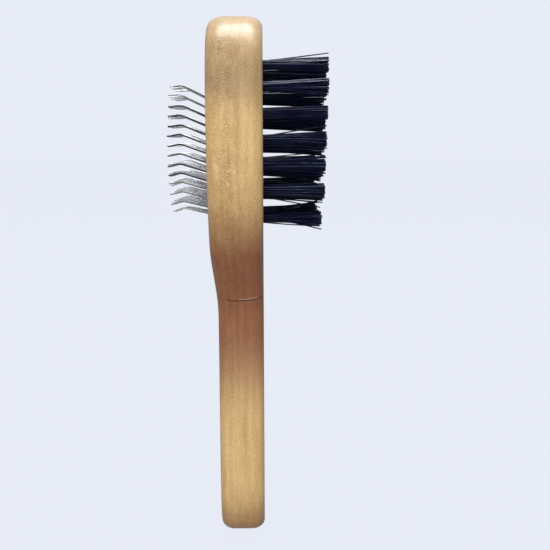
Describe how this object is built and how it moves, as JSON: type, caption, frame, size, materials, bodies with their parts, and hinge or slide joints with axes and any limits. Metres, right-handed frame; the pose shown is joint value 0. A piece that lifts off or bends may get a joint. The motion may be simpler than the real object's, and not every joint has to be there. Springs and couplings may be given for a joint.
{
  "type": "slicker brush",
  "caption": "Double-sided wooden pet grooming brush with bent steel slicker pins on one face of the head and nylon bristle tufts on the other.",
  "frame": {"origin": "centre of the bounding box in plan, at the height of the butt of the handle", "axes": "+Z from the butt to the tip of the head, +X out of the bristle face, -X out of the pin face, Y across the board"},
  "size_m": [0.0536, 0.069, 0.1854],
  "materials": {
    "wood": "clear gloss lacquer over light hardwood",
    "foundation": "matte grey rubber facing on cloth",
    "foam": "open-cell foam",
    "pins": "drawn bright wire",
    "tufts": "blue-black nylon filament with a satin sheen"
  },
  "bodies": {
    "root": {"wood_body": "wood", "pad_foundation": "foundation", "pad_foam": "foam", "pin_row_01": "pins", "pin_row_02": "pins", "pin_row_03": "pins", "pin_row_04": "pins", "pin_row_05": "pins", "pin_row_06": "pins", "pin_row_07": "pins", "pin_row_08": "pins", "pin_row_09": "pins", "pin_row_10": "pins", "pin_row_11": "pins", "pin_row_12": "pins", "pin_row_13": "pins", "pin_row_14": "pins", "tuft_1_1": "tufts", "tuft_1_2": "tufts", "tuft_1_3": "tufts", "tuft_1_4": "tufts", "tuft_1_5": "tufts", "tuft_2_1": "tufts", "tuft_2_2": "tufts", "tuft_2_3": "tufts", "tuft_2_4": "tufts", "tuft_2_5": "tufts", "tuft_2_6": "tufts", "tuft_3_1": "tufts", "tuft_3_2": "tufts", "tuft_3_3": "tufts", "tuft_3_4": "tufts", "tuft_3_5": "tufts", "tuft_3_6": "tufts", "tuft_4_1": "tufts", "tuft_4_2": "tufts", "tuft_4_3": "tufts", "tuft_4_4": "tufts", "tuft_4_5": "tufts", "tuft_4_6": "tufts", "tuft_5_1": "tufts", "tuft_5_2": "tufts", "tuft_5_3": "tufts", "tuft_5_4": "tufts", "tuft_5_5": "tufts", "tuft_5_6": "tufts", "tuft_6_1": "tufts", "tuft_6_2": "tufts", "tuft_6_3": "tufts", "tuft_6_4": "tufts", "tuft_6_5": "tufts", "tuft_6_6": "tufts", "tuft_7_1": "tufts", "tuft_7_2": "tufts", "tuft_7_3": "tufts", "tuft_7_4": "tufts"}
  },
  "joints": []
}
